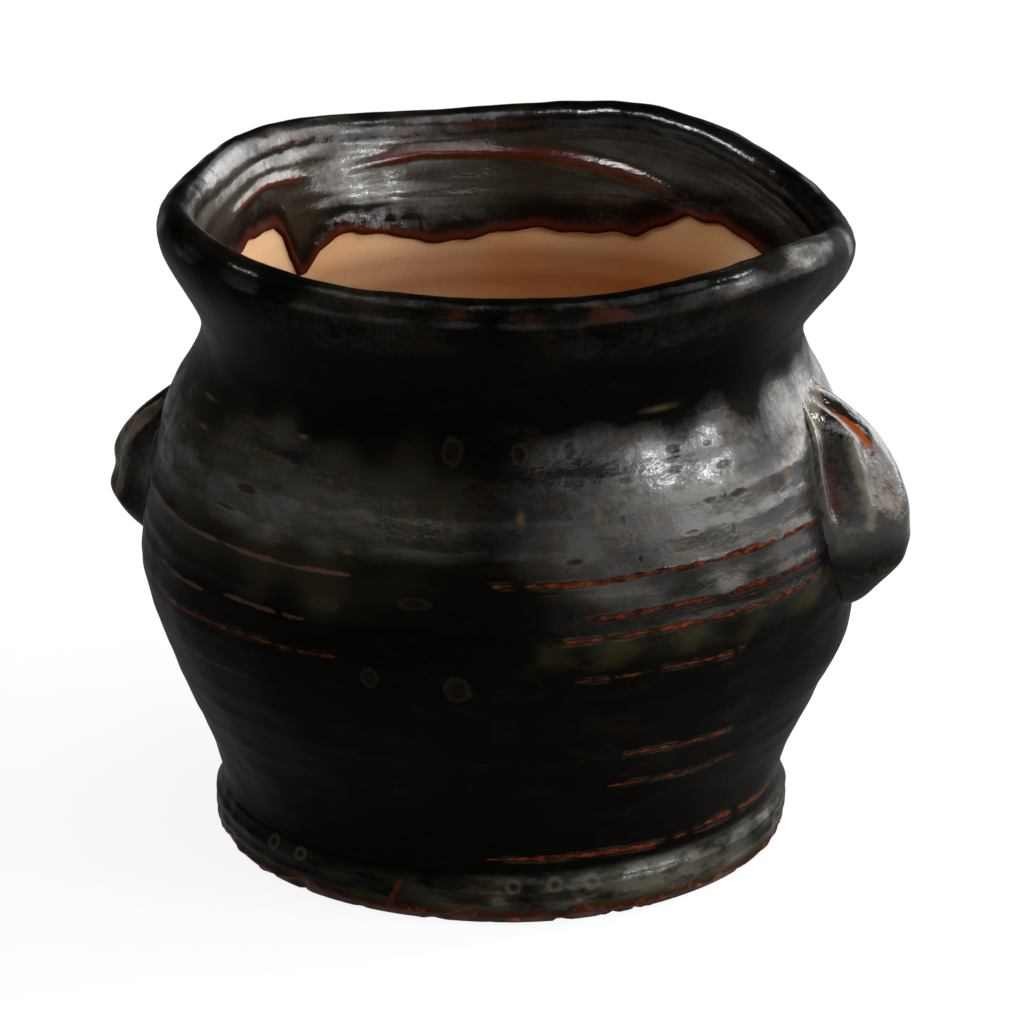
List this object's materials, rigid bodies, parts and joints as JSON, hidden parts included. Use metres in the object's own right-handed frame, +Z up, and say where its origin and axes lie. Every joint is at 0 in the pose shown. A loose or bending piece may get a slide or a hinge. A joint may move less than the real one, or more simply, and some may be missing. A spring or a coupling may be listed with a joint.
{
  "type": "chinese sand pot",
  "caption": "Small round stoneware sand pot with a wavy rolled lip, narrow neck, ear lugs and a flared foot; holds food for slow stovetop cooking.",
  "frame": {"origin": "middle of the foot's flat underside, on the surface that the pot stands on", "axes": "+Z up along the pot's turning axis; +X through the larger lug, -X through the smaller lug; -Y is the side that faces the viewer in the picture, with the pressed hollows of both lugs"},
  "size_m": [0.1554, 0.134, 0.128],
  "materials": {
    "bare_clay": "unglazed fine stoneware, matt, with soft throwing rings",
    "foot_clay": "bare iron-rich clay with a rough chipped edge",
    "dark_glaze": "glossy black-brown iron glaze that breaks rust red on ridges and lip, with grey-ringed spots"
  },
  "bodies": {
    "root": {"clay_body": "bare_clay", "foot_ring": "foot_clay", "lug_right": "bare_clay", "lug_left": "bare_clay", "glaze_belly": "dark_glaze", "glaze_lip": "dark_glaze", "glaze_foot": "dark_glaze", "glaze_lug_right": "dark_glaze", "glaze_lug_left": "dark_glaze"}
  },
  "joints": []
}
